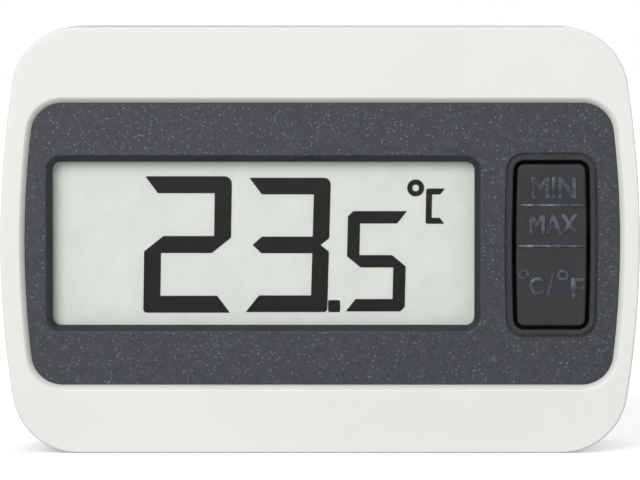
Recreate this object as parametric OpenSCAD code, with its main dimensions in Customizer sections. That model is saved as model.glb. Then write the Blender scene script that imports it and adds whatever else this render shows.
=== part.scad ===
// Digital maximum minimum thermometer in a pocket-sized two-shell case.
// The display faces -Y, +X is to the right of a person reading it, and +Z is up.
// The origin is the middle of the flat bottom edge, half way between front and back.

/* [Case] */
// Width of the case at half its height
case_w = 60; // [60:0.5:64]
// Height of the case
case_h = 40; // [40:0.5:44]
// Depth of the case, front to back
case_d = 14; // [14:0.25:16]
// Radius of the four corners
case_corner_r = 6.2; // [5.8:0.1:7]
// Radius that the left and right sides are bowed to
side_bow_r = 93; // [80:1:120]
// Wall thickness of both shells
wall = 1.6; // [1.4:0.1:1.7]
// Thickness of the front shell's face
front_wall = 2.3; // [2.1:0.1:2.5]
// Where the two shells meet, measured from half depth
seam_y = 0.6; // [0.4:0.1:1]

/* [Bezel] */
// Width of the dark face plate
bezel_w = 55.8; // [54:0.1:56]
// Height of the dark face plate
bezel_h = 26.4; // [26:0.1:27]
// How far the face plate's middle lies to the right of the case's middle
bezel_x = 0.22; // [0:0.02:0.3]
// Height of the face plate's middle above the bottom edge
bezel_z = 19.65; // [19.4:0.05:20]
// Radius of the face plate's corners
bezel_corner_r = 2.9; // [2:0.1:4]
// Thickness of the face plate
bezel_t = 1; // [0.8:0.1:1.2]
// How far the face plate lies below the shell's face
bezel_sink = 0.5; // [0.2:0.05:0.5]

/* [Display] */
// Left edge of the display window
window_x0 = -25.1; // [-25.5:0.1:-24]
// Right edge of the display window
window_x1 = 14.5; // [13:0.1:14.6]
// Bottom edge of the display window
window_z0 = 12; // [11.8:0.1:13]
// Top edge of the display window
window_z1 = 27.35; // [26:0.05:28]
// Thickness of the clear lens
lens_t = 0.6; // [0.5:0.1:0.7]
// Thickness of each sheet of display glass
glass_t = 0.55; // [0.4:0.05:0.6]

/* [Key] */
// Middle of the rocker key, measured from the middle of the case
key_x = 21.7; // [21.5:0.05:22]
// Height of the rocker key's pivot above the bottom edge
key_z = 19.55; // [19:0.05:20]
// Width of the rocker key
key_w = 6.65; // [6:0.05:6.8]
// Length of the rocker key
key_h = 15.2; // [14:0.1:15.3]
// Gap all round the key
key_gap = 0.34; // [0.25:0.01:0.45]
// Width of the plain collar round the key's opening
collar_w = 0.5; // [0.4:0.05:0.6]
// Radius of the key's trunnions
trunnion_r = 0.6; // [0.5:0.05:0.65]

/* [Circuit board] */
// Space between the front shell's inner face and the circuit board
board_gap = 2.5; // [2.5:0.1:2.7]
// Thickness of the circuit board
board_t = 1; // [0.8:0.1:1]

/* [Button cell] */
// Diameter of the button cell, 11.6 for the standard size
cell_d = 11.6; // [11.4:0.1:11.6]
// Thickness of the button cell, 5.4 for the standard size
cell_h = 5.4; // [5.2:0.1:5.4]
// Distance of the cell from the middle of the case
cell_x = -17.5; // [-18:0.1:-17]
// Diameter of the round battery cover
cover_d = 14.7; // [14.2:0.1:14.8]
// Thickness of the round battery cover
cover_t = 1.4; // [1.2:0.1:1.4]

/* [Stand and magnet] */
// Width of the folding stand
stand_w = 17.6; // [14:0.2:17.6]
// Thickness of the folding stand
stand_t = 1.8; // [1.4:0.1:1.8]
// Height of the stand's hinge above the bottom edge
stand_hinge_z = 31; // [28:0.5:31]
// Diameter of the magnet
magnet_d = 11; // [8:0.5:11]
// Thickness of the magnet
magnet_t = 2; // [1.5:0.1:2]

/* [Hidden] */

$fn = 64;
past = 1; // how far a cutter runs past what it cuts
root = 0.5; // how deep a boss is rooted in its wall
lap = 0.1; // how far two shapes of one piece run into each other
tip_room = 0.2; // space left past a screw's tip

front_y = -case_d / 2;
back_y = case_d / 2;
front_inner = front_y + front_wall;
back_inner = back_y - wall;
case_mid_z = case_h / 2;

// Steps along half a bowed side and round one corner
side_steps = 8;
corner_steps = 12;

bezel_front = front_y + bezel_sink;
bezel_back = bezel_front + bezel_t;
bezel_bow_r = side_bow_r - (case_w - bezel_w) / 2;
bezel_fit = 0.03;
stake_at = [for (x = [-19, -3, 20], z = [7.35, 31.6]) [x, z]];
stake_r = 0.5;
stake_play = 0.05;
stake_head_r = 0.85;
stake_head_t = 0.5;

window_mid = [(window_x0 + window_x1) / 2, (window_z0 + window_z1) / 2];
window_size = [window_x1 - window_x0, window_z1 - window_z0];
window_corner_r = 0.8;
lens_rim = 1.2; // how far the lens reaches behind the bezel all round
lens_play = 0.08;
tape_t = 0.1;
tape_w = 0.9;
lens_front = bezel_back + tape_t;

lcd_mid_x = -5.25;
lcd_w = 42;
lcd_z0 = 9.1;
lcd_z1 = 29.6;
lcd_ledge = 2.5; // contact strip of the front glass that the rear glass leaves bare
film_t = 0.18;
film_in = 0.5; // how far both films stop short of the glass
film_y = front_inner;
front_glass_y = film_y + film_t;
rear_glass_y = front_glass_y + glass_t;
reflector_y = rear_glass_y + glass_t;
holder_wall = 0.75;
holder_play = 0.05;
zebra_w = 1.9;
zebra_l = 38;
zebra_z0 = lcd_z0 + 0.3;
rail_w = 0.8; // rail of the holder that stands above the zebra strip
rail_z0 = zebra_z0 + zebra_w + 0.1;
rail_y = reflector_y + film_t + 0.05;
rail_root = 0.3;

board_y = front_inner + board_gap;
board_back = board_y + board_t;
board_size = [54, 23.6]; // across the display, between the corner bosses
board_tall = [42.6, 30]; // up past the display, where the board screws are
board_screw_at = [for (x = [-14, 8], z = [6.6, 32.6]) [x, z]];
board_boss_r = 1.5;
board_shank_r = 0.65;
board_head_r = 1.2;
board_head_t = 0.7;
board_screw_end = board_y - 2.2;
board_hole_r = 0.8;
board_recess = [1.5, 0.7, 0.35];
blob_at = [1, 26];
resistor_at = [for (i = [0 : 4]) [-5 + 2.6 * i, 19.5]];
resistor_size = [1.25, 2, 0.5];
capacitor_at = [for (x = [-3.6, 5.6]) [x, 15.2]];
capacitor_size = [2, 1.25, 0.8];

key_front = bezel_front - 0.05;
pivot_y = bezel_back + 1.1;
key_back = pivot_y + 0.2;
key_rib = 0.9;
key_rib_in = 0.3;
key_corner_r = 0.65;
collar_groove = [0.2, 0.3]; // width and depth of the fine groove outside the collar
key_bow_r = 200;
trunnion_play = 0.05;
ear_t = 0.9;
ear_clear = 0.1;
ear_h = 2.8;
ear_back = pivot_y + 0.95;
ear_x0 = key_w / 2 + key_gap + ear_clear; // the ears' near face, from the key's middle
ear_mouth = 1; // a little narrower than the trunnions, so that they snap in
ear_reach = ear_x0 + ear_t + 1;
key_hole_play = [0.2, 0.7];
key_hole = [2 * (ear_x0 + ear_t), key_h] + 2 * key_hole_play; // in the floor behind the bezel
dome_at = 5.2; // from the pivot to each rubber dome
plunger_r = 0.9;
plunger_back = key_back + 0.45;
dome_r = 2.2;
dome_top = plunger_back + 0.35;
pad_t = 0.5;
pad_size = [8.2, 16.2];
pad_corner_r = 1;
pill_r = 1.2;
pill_t = 0.4;
pill_lift = 0.25; // between the pill and the board's contact pads
pill_y = board_y - pill_lift - pill_t;
dome_well_r = 1.5;

cell_r = cell_d / 2;
cell_at = [cell_x, case_mid_z];
cell_y1 = back_y - cover_t - 0.2;
cell_y0 = cell_y1 - cell_h;
cell_cap_r = 4.6;
cell_cap_proud = 0.3;
cell_seal_t = 0.35;
can_t = 0.25;
cell_step_y = cell_y0 + 1.6; // where the can's shoulder rests on the sealing ring
well_r = cell_r + 0.2;
well_wall = 1;
well_floor = 0.8;
well_floor_y = cell_y0 - 0.1;
leaf_hole_r = 3.6;
contact_t = 0.2;
leaf_w = 2.6;
leaf_at = [-5.4, -1.2, 1.4, 2.4]; // the leaf's ends and bends, from the cell's middle
leaf_curl = 0.5;
leaf_play = 0.01;
clip_w = 3.8;
clip_foot = 2.4;
clip_play = 0.02;
clip_room = 0.3;
clip_y1 = cell_y1 - 1;
cover_r = cover_d / 2;
cover_hole_r = cover_r + 0.15;
cover_y = back_y - cover_t;
cover_seat_y = cover_y - 0.1;
lug_r = cover_r + 0.85;
lug_t = 0.6;
lug_half = 15; // half the angle that a lug spans
lug_at = [90, 270];
lug_play = 0.2;
lug_room = 3; // degrees left free at each end of a lug's travel
cover_turn = 45; // from locked to free
channel_top = cover_y + lug_t + 0.2;
flange_r = lug_r + lug_play + 0.9;
flange_y = cover_seat_y - 1;
coin_slot = [9.5, 1.5];
coin_slot_d = 0.7;
coin_slot_r = 0.74;

stand_mid_x = 3;
stand_play = 0.2;
stand_y1 = back_y - 0.2;
stand_y0 = stand_y1 - stand_t;
stand_z0 = 4.6;
hinge_y = 5.6;
knuckle_r = 1.2;
hinge_pin_r = 0.8;
hinge_pin_l = 1.3;
hinge_play = 0.05;
hinge_end_play = 0.1;
pocket_y = stand_y0 - 0.2;
pocket_z0 = 3.9;
groove_r = knuckle_r + 0.15;
tray_wall = 2;
tray_y = pocket_y - 1.4;
nail_notch_r = 3.2;

magnet_at = [20.8, case_mid_z];
magnet_r = magnet_d / 2;
magnet_play = 0.1;
magnet_glue = 0.05;
magnet_wall = 1.1;

case_screw_at = [for (x = [-23.9, 23.9], z = [5.9, case_h - 5.9]) [x, z]];
case_boss_r = 2.2;
tower_r = 2.7;
tower_y = 0.3;
case_shank_r = 0.85;
case_head_r = 1.7;
case_head_t = 1.2;
counterbore_r = 1.95;
counterbore_y = 4.6;
case_screw_end = -3.6;
case_hole_r = 1;
case_recess = [2.1, 1.2, 0.5];
thread_play = 0.01;
tongue_l = 1;
tongue_t = 0.8;
tongue_play = 0.05;

vent_size = [1, 3.5];
vent_at = [for (i = [0 : 3]) [16.8 + 2 * i, 10.8]];
bead_at = [19.8, 10.8];
bead_r = 0.75;
bead_y = 2.6;
lead_r = 0.15;
lead_gap = 0.8;

shell_white = [0.93, 0.94, 0.92];
bezel_grey = [0.3, 0.32, 0.34];
key_grey = [0.24, 0.25, 0.26];
steel = [0.75, 0.76, 0.78];
solder_mask = [0.1, 0.35, 0.2];

// ---- Shapes ----

// Angle at which a bowed side of radius bow runs into a corner of radius r
function bow_angle(h, r, bow) = asin((h / 2 - r) / (bow - r));

// First quarter of a bowed oblong, from the middle of its right side to its top edge
function bow_quarter(w, h, r, bow) =
    let (
        turn = bow_angle(h, r, bow),
        corner_x = w / 2 - bow + (bow - r) * cos(turn)
    )
    concat(
        [
            for (i = [0 : side_steps])
                let (a = turn * i / side_steps)
                [w / 2 - bow + bow * cos(a), bow * sin(a)]
        ],
        [
            for (i = [1 : corner_steps])
                let (a = turn + (90 - turn) * i / corner_steps)
                [corner_x + r * cos(a), h / 2 - r + r * sin(a)]
        ]
    );

// The same quarter from top edge back to the side, without the side's middle point
function reversed(points) = [for (i = [len(points) - 1 : -1 : 1]) points[i]];

function flipped(points, sx, sy) = [for (p = points) [sx * p.x, sy * p.y]];

// Oblong with rounded corners whose left and right sides bow outwards
module bowed_oblong(w, h, r, bow) {
    quarter = bow_quarter(w, h, r, bow);
    polygon(concat(
        quarter,
        flipped(reversed(quarter), -1, 1),
        flipped(quarter, -1, -1),
        flipped(reversed(quarter), 1, -1)
    ));
}

// Oblong with rounded corners and straight sides
module rounded_oblong(size, r) {
    square([size.x - 2 * r, size.y], center = true);
    square([size.x, size.y - 2 * r], center = true);
    for (sx = [-1, 1], sy = [-1, 1])
        translate([sx * (size.x / 2 - r), sy * (size.y / 2 - r)]) circle(r);
}

// The part of a disc between two angles, up to 120 degrees apart
module sector(r, from, to) {
    intersection() {
        circle(r);
        polygon([
            [0, 0],
            for (i = [0 : 2]) 2 * r * [cos(from + (to - from) * i / 2), sin(from + (to - from) * i / 2)]
        ]);
    }
}

// A flat shape in X and Z, made solid from depth y0 to depth y1
module slab(y0, y1) {
    translate([0, y1, 0]) rotate([90, 0, 0]) linear_extrude(y1 - y0) children();
}

// The same with the shape turned so that angles count the way a person behind the case sees them
module back_slab(at, y0, y1) {
    translate([at.x, y0, at.y]) rotate([-90, 0, 0]) linear_extrude(y1 - y0) children();
}

// A round post or hole that runs front to back at the point [x, z]
module post(at, y0, y1, r) {
    translate([at.x, y0, at.y]) rotate([-90, 0, 0]) cylinder(r = r, h = y1 - y0);
}

// A round pin or hole that runs left to right
module axle(x0, x1, y, z, r) {
    translate([x0, y, z]) rotate([0, 90, 0]) cylinder(r = r, h = x1 - x0);
}

// An upright box, by two opposite corners
module block(from, to) {
    translate(from) cube(to - from);
}

function heading(points, i) = atan2(points[i + 1].y - points[i].y, points[i + 1].x - points[i].x);

// A line that runs beside a bent line, off to its left
function beside(points, off) = [
    for (i = [0 : len(points) - 1])
        let (
            before = heading(points, max(i - 1, 0)),
            after = heading(points, min(i, len(points) - 2)),
            middle = (before + after) / 2
        )
        points[i] + off / cos((after - before) / 2) * [-sin(middle), cos(middle)]
];

// Bent strip of spring metal that runs through points [across, depth], of a given width
module bent_strip(points, width) {
    right = beside(points, -contact_t / 2);
    left = beside(points, contact_t / 2);
    linear_extrude(width, center = true)
        polygon(concat(right, [for (i = [len(left) - 1 : -1 : 0]) left[i]]));
}

module case_outline(inset) {
    translate([0, case_mid_z])
        bowed_oblong(case_w - 2 * inset, case_h - 2 * inset, case_corner_r - inset, side_bow_r - inset);
}

module bezel_outline(grow) {
    translate([bezel_x, bezel_z])
        bowed_oblong(bezel_w + 2 * grow, bezel_h + 2 * grow, bezel_corner_r + grow, bezel_bow_r + grow);
}

module key_outline(grow) {
    translate([key_x, key_z])
        bowed_oblong(key_w + 2 * grow, key_h + 2 * grow, key_corner_r + grow, key_bow_r + grow);
}

module window_outline(grow) {
    translate(window_mid)
        rounded_oblong(window_size + 2 * [grow, grow], window_corner_r + grow / 4);
}

module lcd_plate(z0, inset) {
    translate([lcd_mid_x - lcd_w / 2 + inset, z0 + inset])
        square([lcd_w - 2 * inset, lcd_z1 - z0 - 2 * inset]);
}

// ---- Face of the case ----

module front_shell() {
    color(shell_white)
    difference() {
        union() {
            difference() {
                slab(front_y, seam_y) case_outline(0);
                slab(front_inner, seam_y + past) case_outline(wall);
            }
            for (p = case_screw_at) post(p, front_inner - root, tower_y, case_boss_r);
            for (p = board_screw_at) post(p, front_inner - root, board_y, board_boss_r);
        }
        slab(front_y - past, bezel_back) bezel_outline(bezel_fit);
        slab(bezel_back - past, front_inner + past) window_outline(lens_rim + lens_play);
        slab(bezel_back - past, front_inner + past)
            translate([key_x, key_z]) square(key_hole, center = true);
        for (p = stake_at) post(p, bezel_back - past, front_inner + past, stake_r + stake_play);
        for (p = case_screw_at)
            post(p, case_screw_end - tip_room, tower_y + past, case_shank_r + thread_play);
        for (p = board_screw_at)
            post(p, board_screw_end - tip_room, board_y + past, board_shank_r + thread_play);
    }
}

module bezel() {
    color(bezel_grey)
    difference() {
        union() {
            slab(bezel_front, bezel_back) bezel_outline(0);
            for (p = stake_at) {
                post(p, bezel_back - root, front_inner, stake_r);
                post(p, front_inner, front_inner + stake_head_t, stake_head_r);
            }
            for (side = [-1, 1])
                block(
                    [key_x + side * (ear_x0 + ear_t / 2) - ear_t / 2, bezel_back - root, key_z - ear_h / 2],
                    [key_x + side * (ear_x0 + ear_t / 2) + ear_t / 2, ear_back, key_z + ear_h / 2]
                );
        }
        slab(bezel_front - past, bezel_back + past) window_outline(0);
        slab(bezel_front - past, bezel_back + past) key_outline(key_gap);
        slab(bezel_front - past, bezel_front + collar_groove[1])
            difference() {
                key_outline(key_gap + collar_w + collar_groove[0]);
                key_outline(key_gap + collar_w);
            }
        axle(key_x - ear_reach, key_x + ear_reach, pivot_y, key_z, trunnion_r + trunnion_play);
        block([key_x - ear_reach, pivot_y, key_z - ear_mouth / 2],
              [key_x + ear_reach, ear_back + past, key_z + ear_mouth / 2]);
    }
}

module lens_tape() {
    color([0.15, 0.15, 0.16])
    difference() {
        slab(bezel_back, lens_front) window_outline(lens_rim);
        slab(bezel_back - past, lens_front + past) window_outline(lens_rim - tape_w);
    }
}

module display_lens() {
    color([0.85, 0.9, 0.92, 0.4])
    slab(lens_front, lens_front + lens_t) window_outline(lens_rim);
}

// ---- Rocker key and its switch pad ----

module rocker_key() {
    color(key_grey)
    union() {
        slab(key_front, key_back) key_outline(0);
        block([key_x - key_w / 2 + key_rib_in, key_back - root, key_z - key_rib],
              [key_x + key_w / 2 - key_rib_in, pivot_y + trunnion_r, key_z + key_rib]);
        axle(key_x - ear_x0 - ear_t, key_x + ear_x0 + ear_t, pivot_y, key_z, trunnion_r);
        for (side = [-1, 1])
            post([key_x, key_z + side * dome_at], key_back - root, plunger_back, plunger_r);
    }
}

module rubber_keypad() {
    color([0.75, 0.76, 0.74])
    difference() {
        union() {
            slab(board_y - pad_t, board_y)
                translate([key_x, key_z]) rounded_oblong(pad_size, pad_corner_r);
            for (side = [-1, 1])
                post([key_x, key_z + side * dome_at], dome_top, board_y - pad_t / 2, dome_r);
        }
        for (side = [-1, 1])
            post([key_x, key_z + side * dome_at], pill_y, board_y + past, dome_well_r);
    }
}

module carbon_pills() {
    color([0.1, 0.1, 0.1])
    for (side = [-1, 1])
        post([key_x, key_z + side * dome_at], pill_y, pill_y + pill_t, pill_r);
}

// ---- Liquid crystal display ----

module lcd_front_polarizer() {
    color([0.75, 0.77, 0.72, 0.6])
    slab(film_y, film_y + film_t) lcd_plate(lcd_z0, film_in);
}

module lcd_front_glass() {
    color([0.7, 0.78, 0.76, 0.5])
    slab(front_glass_y, front_glass_y + glass_t) lcd_plate(lcd_z0, 0);
}

module lcd_rear_glass() {
    color([0.65, 0.74, 0.72, 0.5])
    slab(rear_glass_y, rear_glass_y + glass_t) lcd_plate(lcd_z0 + lcd_ledge, 0);
}

module lcd_reflector() {
    color([0.85, 0.87, 0.84])
    slab(reflector_y, reflector_y + film_t) lcd_plate(lcd_z0 + lcd_ledge, film_in);
}

module lcd_holder() {
    color([0.88, 0.88, 0.86])
    union() {
        difference() {
            slab(front_inner, board_y) lcd_plate(lcd_z0, -holder_wall - holder_play);
            slab(front_inner - past, board_y + past) lcd_plate(lcd_z0, -holder_play);
        }
        block([lcd_mid_x - lcd_w / 2 - rail_root, rail_y, rail_z0],
              [lcd_mid_x + lcd_w / 2 + rail_root, board_y, rail_z0 + rail_w]);
    }
}

module zebra_strip() {
    color([0.55, 0.35, 0.4])
    block([lcd_mid_x - zebra_l / 2, rear_glass_y, zebra_z0],
          [lcd_mid_x + zebra_l / 2, board_y, zebra_z0 + zebra_w]);
}

// ---- Circuit board ----

module circuit_board() {
    color(solder_mask)
    difference() {
        slab(board_y, board_back) translate([0, case_mid_z]) {
            square(board_size, center = true);
            square(board_tall, center = true);
        }
        for (p = board_screw_at) post(p, board_y - past, board_back + past, board_hole_r);
    }
}

module board_screws() {
    color(steel)
    for (p = board_screw_at)
        difference() {
            union() {
                post(p, board_back, board_back + board_head_t, board_head_r);
                post(p, board_screw_end, board_back + lap, board_shank_r);
            }
            for (turn = [0, 90])
                translate([p.x, board_back + board_head_t, p.y]) rotate([0, turn, 0])
                    cube(board_recess, center = true);
        }
}

// Drop of black resin over the bare chip, as the cap of a ball
module chip_blob() {
    blob_r = 3.8;
    blob_h = 1.2;
    ball_r = (blob_r * blob_r + blob_h * blob_h) / (2 * blob_h);
    color([0.08, 0.08, 0.09])
    translate([blob_at.x, board_back, blob_at.y]) rotate([-90, 0, 0])
        rotate_extrude()
            intersection() {
                translate([0, blob_h - ball_r]) circle(ball_r);
                square([blob_r, blob_h]);
            }
}

module chip_part(at, size) {
    translate([at.x - size.x / 2, board_back, at.y - size.y / 2]) cube([size.x, size.z, size.y]);
}

module smd_resistors() {
    color([0.12, 0.12, 0.13])
    for (p = resistor_at) chip_part(p, resistor_size);
}

module smd_capacitors() {
    color([0.62, 0.5, 0.36])
    for (p = capacitor_at) chip_part(p, capacitor_size);
}

// Glass bead on two wire legs, held behind the vent slots
module thermistor() {
    color([0.85, 0.6, 0.25])
    union() {
        translate([bead_at.x, bead_y, bead_at.y]) sphere(bead_r);
        for (side = [-1, 1])
            post([bead_at.x + side * lead_gap / 2, bead_at.y], board_back, bead_y, lead_r);
    }
}

// ---- Button cell and its contacts ----

// Leaf spring on the board that pushes against the cell's cap
module contact_negative() {
    foot_y = board_back + contact_t / 2;
    tip_y = cell_y0 - leaf_play - contact_t / 2;
    depth = [foot_y, foot_y, tip_y, tip_y - leaf_curl];
    color(steel)
    translate([cell_at.x, 0, cell_at.y]) rotate([0, 180, 0])
        bent_strip([for (i = [0 : 3]) [leaf_at[i], depth[i]]], leaf_w);
}

// Upright strip that touches the side of the cell's can
module contact_positive() {
    leg_x = cell_r + clip_play + contact_t / 2;
    foot_y = board_back + contact_t / 2;
    color(steel)
    translate([cell_at.x, 0, cell_at.y])
        bent_strip([[leg_x + clip_foot, foot_y], [leg_x, foot_y], [leg_x, clip_y1]], clip_w);
}

module cell_cap() {
    color(steel)
    difference() {
        post(cell_at, cell_y0, cell_step_y, cell_cap_r);
        post(cell_at, cell_y0 + can_t, cell_step_y + past, cell_cap_r - can_t);
    }
}

// Nylon ring that keeps the cap apart from the can
module cell_seal() {
    color([0.85, 0.85, 0.8])
    difference() {
        post(cell_at, cell_y0 + cell_cap_proud, cell_step_y, cell_cap_r + cell_seal_t);
        post(cell_at, cell_y0, cell_step_y + past, cell_cap_r);
    }
}

// Electrodes and separator, as one pellet
module cell_core() {
    color([0.25, 0.25, 0.27])
    union() {
        post(cell_at, cell_step_y, cell_y1 - can_t, cell_r - can_t);
        post(cell_at, cell_y0 + can_t, cell_step_y + lap, cell_cap_r - can_t);
    }
}

module cell_can() {
    color(steel)
    difference() {
        post(cell_at, cell_y0 + cell_cap_proud, cell_y1, cell_r);
        post(cell_at, cell_step_y, cell_y1 - can_t, cell_r - can_t);
        post(cell_at, cell_y0, cell_step_y + lap, cell_cap_r + cell_seal_t);
    }
}

// ---- Back of the case ----

module battery_well_cuts() {
    reach = lug_half + lug_room;
    post(cell_at, well_floor_y, back_y + past, well_r);
    post(cell_at, well_floor_y - well_floor - past, well_floor_y + past, leaf_hole_r);
    post(cell_at, cover_seat_y, back_y + past, cover_hole_r);
    // Room for the positive contact beside the cell
    block([cell_at.x + cell_r - root, well_floor_y - well_floor - past, cell_at.y - clip_w / 2 - clip_room],
          [cell_at.x + well_r + well_wall + past, clip_y1 + clip_room, cell_at.y + clip_w / 2 + clip_room]);
    for (a = lug_at) {
        back_slab(cell_at, cover_seat_y, channel_top)
            sector(lug_r + lug_play, a - reach, a + cover_turn + reach);
        back_slab(cell_at, cover_seat_y, back_y + past)
            sector(lug_r + lug_play, a + cover_turn - reach, a + cover_turn + reach);
    }
}

module stand_pocket_cuts() {
    half = stand_w / 2 + stand_play;
    block([stand_mid_x - half, pocket_y, pocket_z0], [stand_mid_x + half, back_y + past, stand_hinge_z]);
    block([stand_mid_x - half, hinge_y, stand_hinge_z - root],
          [stand_mid_x + half, back_y + past, stand_hinge_z + groove_r]);
    axle(stand_mid_x - half, stand_mid_x + half, hinge_y, stand_hinge_z, groove_r);
    axle(stand_mid_x - half - hinge_pin_l, stand_mid_x + half + hinge_pin_l, hinge_y, stand_hinge_z,
         hinge_pin_r + hinge_play);
    post([stand_mid_x, wall + nail_notch_r], pocket_y, back_y + past, nail_notch_r);
}

module rear_shell() {
    half = stand_w / 2 + stand_play + tray_wall;
    color(shell_white)
    difference() {
        union() {
            difference() {
                slab(seam_y, back_y) case_outline(0);
                slab(seam_y - past, back_inner) case_outline(wall);
            }
            // Tongue that centres this shell inside the front one
            difference() {
                union() {
                    slab(seam_y - tongue_l, seam_y + root) case_outline(wall + tongue_play);
                    slab(seam_y, seam_y + tongue_l) case_outline(wall - root);
                }
                slab(seam_y - tongue_l - past, seam_y + tongue_l + past)
                    case_outline(wall + tongue_play + tongue_t);
            }
            block([stand_mid_x - half, tray_y, wall - root],
                  [stand_mid_x + half, back_inner + root, stand_hinge_z + groove_r + tray_wall]);
            post(cell_at, well_floor_y - well_floor, back_inner + root, well_r + well_wall);
            post(cell_at, flange_y, back_inner + root, flange_r);
            post(magnet_at, back_y - magnet_t - magnet_wall, back_inner + root, magnet_r + magnet_wall);
            for (p = case_screw_at) post(p, tower_y, back_inner + root, tower_r);
        }
        battery_well_cuts();
        stand_pocket_cuts();
        post(magnet_at, back_y - magnet_t - magnet_glue, back_y + past, magnet_r + magnet_play);
        for (p = case_screw_at) {
            post(p, counterbore_y, back_y + past, counterbore_r);
            post(p, tower_y - past, counterbore_y + past, case_hole_r);
        }
        for (p = vent_at)
            slab(back_inner - past, back_y + past) translate(p) square(vent_size, center = true);
    }
}

module case_screws() {
    color(steel)
    for (p = case_screw_at)
        difference() {
            union() {
                post(p, counterbore_y, counterbore_y + case_head_t, case_head_r);
                post(p, case_screw_end, counterbore_y + lap, case_shank_r);
            }
            for (turn = [0, 90])
                translate([p.x, counterbore_y + case_head_t, p.y]) rotate([0, turn, 0])
                    cube(case_recess, center = true);
        }
}

module battery_cover() {
    color([0.9, 0.91, 0.89])
    difference() {
        union() {
            post(cell_at, cover_y, back_y, cover_r);
            for (a = lug_at)
                back_slab(cell_at, cover_y, cover_y + lug_t) sector(lug_r, a - lug_half, a + lug_half);
        }
        slab(back_y - coin_slot_d, back_y + past)
            translate(cell_at) rounded_oblong(coin_slot, coin_slot_r);
    }
}

module stand() {
    half = stand_w / 2;
    reach = half + stand_play + hinge_pin_l - hinge_end_play;
    color([0.9, 0.91, 0.89])
    union() {
        block([stand_mid_x - half, stand_y0, stand_z0], [stand_mid_x + half, stand_y1, stand_hinge_z]);
        axle(stand_mid_x - half, stand_mid_x + half, hinge_y, stand_hinge_z, knuckle_r);
        axle(stand_mid_x - reach, stand_mid_x + reach, hinge_y, stand_hinge_z, hinge_pin_r);
    }
}

module magnet() {
    color([0.35, 0.35, 0.37])
    post(magnet_at, back_y - magnet_t, back_y, magnet_r);
}

front_shell();
bezel();
lens_tape();
display_lens();
rocker_key();
rubber_keypad();
carbon_pills();
lcd_front_polarizer();
lcd_front_glass();
lcd_rear_glass();
lcd_reflector();
lcd_holder();
zebra_strip();
circuit_board();
board_screws();
chip_blob();
smd_resistors();
smd_capacitors();
thermistor();
contact_negative();
contact_positive();
cell_cap();
cell_seal();
cell_core();
cell_can();
rear_shell();
case_screws();
battery_cover();
stand();
magnet();
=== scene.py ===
import math

import bmesh
import bpy
from mathutils import Matrix, Vector


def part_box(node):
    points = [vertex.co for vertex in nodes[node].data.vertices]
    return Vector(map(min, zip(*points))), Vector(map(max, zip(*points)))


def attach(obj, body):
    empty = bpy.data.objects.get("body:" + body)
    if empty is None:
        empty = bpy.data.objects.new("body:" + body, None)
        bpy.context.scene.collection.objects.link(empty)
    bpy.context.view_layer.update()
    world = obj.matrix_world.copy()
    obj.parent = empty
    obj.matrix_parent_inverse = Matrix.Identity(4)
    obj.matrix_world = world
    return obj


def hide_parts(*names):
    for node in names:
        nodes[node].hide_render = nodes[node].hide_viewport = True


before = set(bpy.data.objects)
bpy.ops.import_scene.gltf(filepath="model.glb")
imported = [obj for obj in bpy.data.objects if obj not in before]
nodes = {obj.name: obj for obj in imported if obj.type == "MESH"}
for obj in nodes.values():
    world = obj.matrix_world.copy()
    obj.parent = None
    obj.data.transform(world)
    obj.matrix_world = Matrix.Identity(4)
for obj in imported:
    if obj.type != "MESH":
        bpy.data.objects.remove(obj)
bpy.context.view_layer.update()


# ---- Front and rear shell ----
# Two injection moulded ABS halves in a satin off-white. They meet on a tongue half way back,
# and every outside edge is rounded as the mould was cut. Four screws from behind join them.

MM = 0.001


def linear(red, green, blue):
    """A colour given as it looks on a screen, from 0 to 255, as the shader wants it."""
    def one(value):
        value /= 255
        return value / 12.92 if value <= 0.04045 else ((value + 0.055) / 1.055) ** 2.4
    return one(red), one(green), one(blue), 1.0


FLAT_WITHIN = math.radians(0.3)
SAME_PLACE = 0.02 * MM


def merged_copy(node, cuts_x=(), cuts_z=()):
    """A closed bmesh of a node, its flat faces whole again except for straight cuts, given in mm. A cut
    through the middle of a hole leaves no face that runs all the way round it."""
    bm = bmesh.new()
    bm.from_mesh(nodes[node].data)
    bmesh.ops.remove_doubles(bm, verts=bm.verts, dist=1e-7)
    cuts = [(Vector((x, 0, 0)), Vector((1, 0, 0))) for x in cuts_x]
    cuts += [(Vector((0, 0, z)), Vector((0, 0, 1))) for z in cuts_z]
    for place, across in cuts:
        parts = bmesh.ops.bisect_plane(
            bm, geom=[*bm.verts, *bm.edges, *bm.faces], dist=SAME_PLACE, plane_co=place * MM, plane_no=across,
        )
        for edge in (part for part in parts["geom_cut"] if isinstance(part, bmesh.types.BMEdge)):
            edge.seam = True
    bmesh.ops.dissolve_limit(
        bm, angle_limit=FLAT_WITHIN, verts=bm.verts, edges=bm.edges, delimit={"SEAM"},
    )
    for edge in bm.edges:
        edge.seam = False
    return bm


def box_mm(node):
    """A node's box in mm, as two corners."""
    low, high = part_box(node)
    return [c / MM for c in low], [c / MM for c in high]


def front_area(low, high, grow=0.0):
    """A box seen from the front, as (x0, z0, x1, z1) in mm, grown by so many mm all round."""
    return low[0] - grow, low[2] - grow, high[0] + grow, high[2] + grow


SAME_DEPTH_MM = 0.002
SHARP_FROM = math.radians(40)


def at_depth(depth, within=None, beyond=None):
    """Picks the sharp edges that lie at one depth in mm, inside or outside an area."""
    def inside(point, area):
        return area[0] <= point.x <= area[2] and area[1] <= point.z <= area[3]

    def pick(edge):
        if any(abs(v.co.y / MM - depth) > SAME_DEPTH_MM for v in edge.verts):
            return False
        if len(edge.link_faces) != 2 or edge.calc_face_angle(0) < SHARP_FROM:
            return False
        middle = (edge.verts[0].co + edge.verts[1].co) / 2 / MM
        if within and not inside(middle, within):
            return False
        return not (beyond and inside(middle, beyond))
    return pick


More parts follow.
